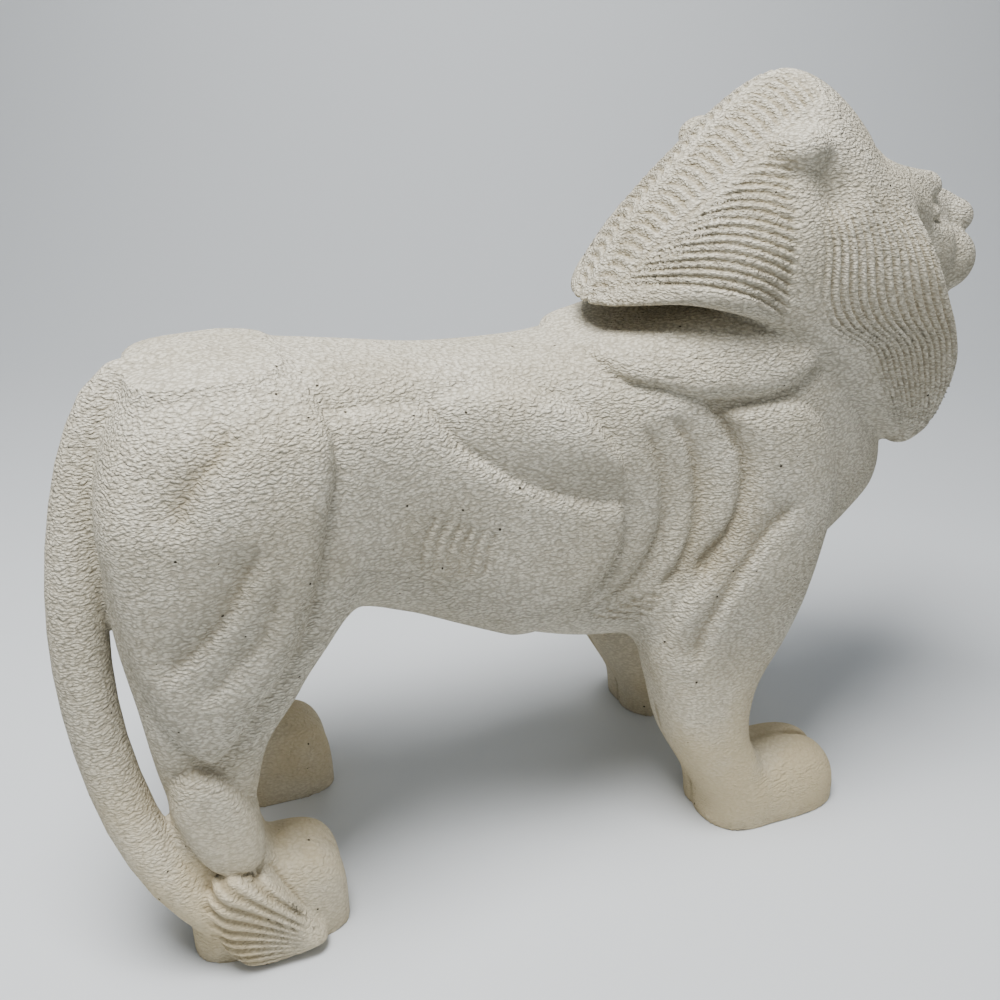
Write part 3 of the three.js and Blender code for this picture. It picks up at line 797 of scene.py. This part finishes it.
# %% Stone with sand, bubbles and stains
def cast_stone():
    stone = bpy.data.materials.new("cast stone, sanded")
    stone.use_nodes = True
    tree = stone.node_tree
    shader = tree.nodes["Principled BSDF"]
    shader.inputs["Roughness"].default_value = 0.95
    shader.inputs["Specular IOR Level"].default_value = 0.2
    place = add(tree, "ShaderNodeTexCoord").outputs["Object"]
    height = add(tree, "ShaderNodeSeparateXYZ", Vector=place).outputs["Z"]

    # Grains lie flat: wider than high, each pushed a little out of line
    stray = add(tree, "ShaderNodeTexNoise", Vector=place, Scale=1 / WANDER, Detail=1.0).outputs["Color"]
    moved = add(tree, "ShaderNodeVectorMath", TIMES_PLUS, in0=stray, in1=WANDER_REACH, in2=place)
    laid = add(tree, "ShaderNodeMapping", Vector=moved, Scale=GRAIN_SQUASH)
    grains = add(tree, "ShaderNodeTexVoronoi", Vector=laid, Scale=1 / GRAIN).outputs["Distance"]
    fine = add(tree, "ShaderNodeTexNoise", Vector=laid, Scale=1 / FINE_GRAIN, Detail=2.0).outputs["Fac"]
    large, small = [pits(tree, moved, *row) for row in PITS]
    # Each bubble is a dent in the bump and is painted dark, as shade inside the hole
    holes = add(tree, "ShaderNodeMath", {"operation": "MAXIMUM"}, in0=large, in1=small)

    # Handling has worn the paws and the tuft smooth and left them tan
    worn = add(tree, "ShaderNodeMapRange", EASED, Value=height, From_Min=WORN_FROM, From_Max=WORN_TO)
    cloud = add(tree, "ShaderNodeTexNoise", Vector=place, Scale=1 / CLOUD, Detail=3.0).outputs["Fac"]
    patches = add(tree, "ShaderNodeMapRange", EASED, Value=cloud, From_Min=0.3, From_Max=0.6,
                  To_Min=0.35, To_Max=0.75)
    stain = add(tree, "ShaderNodeMath", TIMES, in0=worn, in1=patches)
    shady = add(tree, "ShaderNodeMapRange", EASED, Value=cloud, From_Min=0.4, From_Max=0.62)

    # Painted shade: the gaps between the grains are darkened as if shaded, less so where the stone is worn
    between = add(tree, "ShaderNodeMath", TIMES_PLUS, in0=fine, in1=0.35, in2=grains)
    between = add(tree, "ShaderNodeMapRange", EASED, Value=between, From_Min=0.42, From_Max=0.85)
    grain_shade_share = add(tree, "ShaderNodeMath", TIMES_PLUS, in0=worn, in1=-0.15, in2=0.55)
    grain_shade = add(tree, "ShaderNodeMath", TIMES, in0=between, in1=grain_shade_share)
    # Dirt and painted shade: the carved lines are darkened by their depth
    depth = add(tree, "ShaderNodeAttribute", {"attribute_name": "carved"}).outputs["Fac"]
    dirt_and_shade = add(tree, "ShaderNodeMapRange", EASED, Value=depth, From_Min=0.4, From_Max=1.9, To_Max=0.55)

    colour = linear(CREAM)
    layers = [(shady, SHADE_CREAM), (grain_shade, GRAIN_SHADE), (stain, TAN), (dirt_and_shade, DIRT_AND_SHADE), (holes, PIT_SHADE)]
    for share, code in layers:
        mix = add(tree, "ShaderNodeMix", {"data_type": "RGBA"}, in0=share, in6=colour, in7=linear(code))
        colour = mix.outputs[2]
    tree.links.new(colour, shader.inputs["Base Color"])

    # Each grain is a bump that falls off steeply, with finer sand on it
    away = add(tree, "ShaderNodeMath", {"operation": "POWER"}, in0=grains, in1=1.6)
    sand = add(tree, "ShaderNodeMath", TIMES, in0=fine, in1=0.7)
    rough = add(tree, "ShaderNodeMath", LESS, in0=sand, in1=away)
    rough_share = add(tree, "ShaderNodeMath", TIMES_PLUS, in0=worn, in1=-0.45, in2=1.0)
    relief = add(tree, "ShaderNodeMath", TIMES, in0=rough, in1=rough_share)
    relief = add(tree, "ShaderNodeMath", LESS, in0=relief, in1=holes)
    bump = add(tree, "ShaderNodeBump", Strength=1.0, Distance=RELIEF, Height=relief)
    tree.links.new(bump.outputs[0], shader.inputs["Normal"])
    return stone


# %% Give the lion its stone and its place in the frame
lion.data.materials.append(cast_stone())
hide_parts("lion")
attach(lion, "root")


# %% [markdown]
# ## Studio
#
# The light is soft and comes from all around, most of it from above. A pale floor, a bright sky and
# three large soft lamps give it, one of them for the backdrop alone.

# %% Floor that curves up behind
BACK_START = 0.75
BACK_RADIUS = 0.9
BACK_HEIGHT = 3.5


def plain(name, code):
    paint = bpy.data.materials.new(name)
    paint.use_nodes = True
    shader = paint.node_tree.nodes["Principled BSDF"]
    shader.inputs["Base Color"].default_value = linear(code)
    shader.inputs["Roughness"].default_value = 0.9
    return paint


bpy.ops.object.select_all(action="DESELECT")
bpy.ops.mesh.primitive_grid_add(x_subdivisions=2, y_subdivisions=160, size=12)
floor = bpy.context.object
floor.name = "floor"
for vertex in floor.data.vertices:
    past = max(0.0, vertex.co.y - BACK_START)
    bend = min(past / BACK_RADIUS, math.pi / 2)
    rise = max(0.0, past - BACK_RADIUS * math.pi / 2)
    vertex.co.y = min(vertex.co.y, BACK_START) + BACK_RADIUS * math.sin(bend)
    vertex.co.z = BACK_RADIUS * (1 - math.cos(bend)) + min(rise, BACK_HEIGHT)
    vertex.co = Matrix.Rotation(-LOOK_AHEAD, 3, "Z") @ vertex.co
bpy.ops.object.shade_smooth()
floor.data.materials.append(plain("matt pale paper", "#d4d7d9"))

# %% Lights
SKY_STRENGTH = 0.3
STONE_MIDDLE = (0, 0, 0.15)
LAMPS = {
    "top cloth": {"place": (-0.25, -0.15, 1.15), "aim": STONE_MIDDLE, "power": 25, "width": 0.5},
    "front cloth": {"place": (0.7, -1.3, 0.5), "aim": STONE_MIDDLE, "power": 3, "width": 1.2},
    "back cloth": {"place": (0.2, 0.9, 1.5), "aim": (0.7, 2.4, 0.9), "power": 12, "width": 1.0},
}

sky = bpy.data.worlds.new("white cloth box")
bpy.context.scene.world = sky
sky.use_nodes = True
sky.node_tree.nodes["Background"].inputs["Color"].default_value = linear("#dde3ea")
sky.node_tree.nodes["Background"].inputs["Strength"].default_value = SKY_STRENGTH
for name, cloth in LAMPS.items():
    lamp = bpy.data.lights.new(name, "AREA")
    lamp.energy = cloth["power"]
    lamp.size = cloth["width"]
    holder = bpy.data.objects.new(name, lamp)
    bpy.context.scene.collection.objects.link(holder)
    holder.location = cloth["place"]
    way = Vector(cloth["aim"]) - Vector(cloth["place"])
    holder.rotation_euler = way.to_track_quat("-Z", "Y").to_euler()
